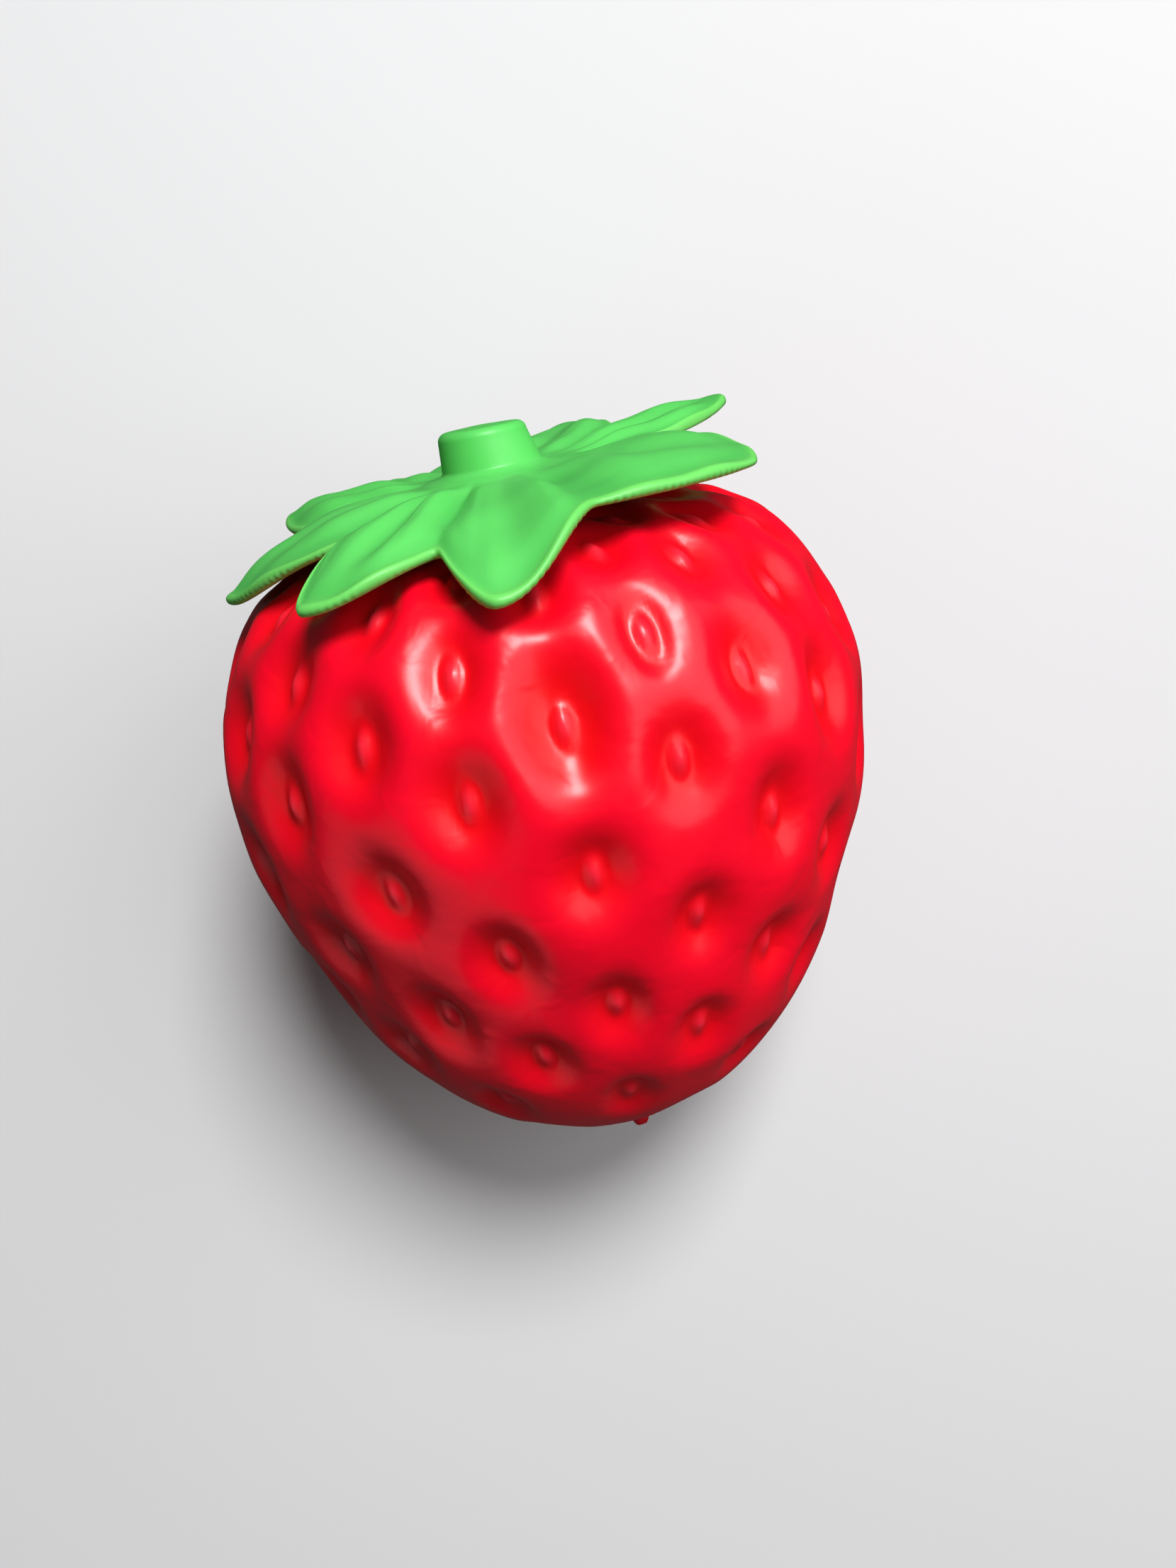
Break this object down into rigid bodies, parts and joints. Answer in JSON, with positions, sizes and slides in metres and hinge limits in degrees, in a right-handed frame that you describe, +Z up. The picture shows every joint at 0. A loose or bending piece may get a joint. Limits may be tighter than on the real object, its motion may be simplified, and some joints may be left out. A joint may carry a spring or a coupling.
{
  "type": "toy strawberry",
  "caption": "Hollow moulded toy strawberry lying on its flank: dimpled red body with raised seeds and a push-in green leaf cap with a stalk stub.",
  "frame": {"origin": "middle of the small flat spot under the body, on the surface that it lies on", "axes": "+Z up, +Y level from the pointed end towards the leaf end, +X to the side; the fruit's own axis lies in the YZ plane and rises 20 degrees towards the leaf end"},
  "size_m": [0.0652, 0.078, 0.0669],
  "materials": {
    "body_plastic": "smooth soft-gloss red plastic, slightly waxy",
    "leaf_plastic": "satin bright green plastic, paler at the thin leaf edges"
  },
  "bodies": {
    "root": {"fruit_body": "body_plastic", "leaf_cap": "leaf_plastic"}
  },
  "joints": []
}
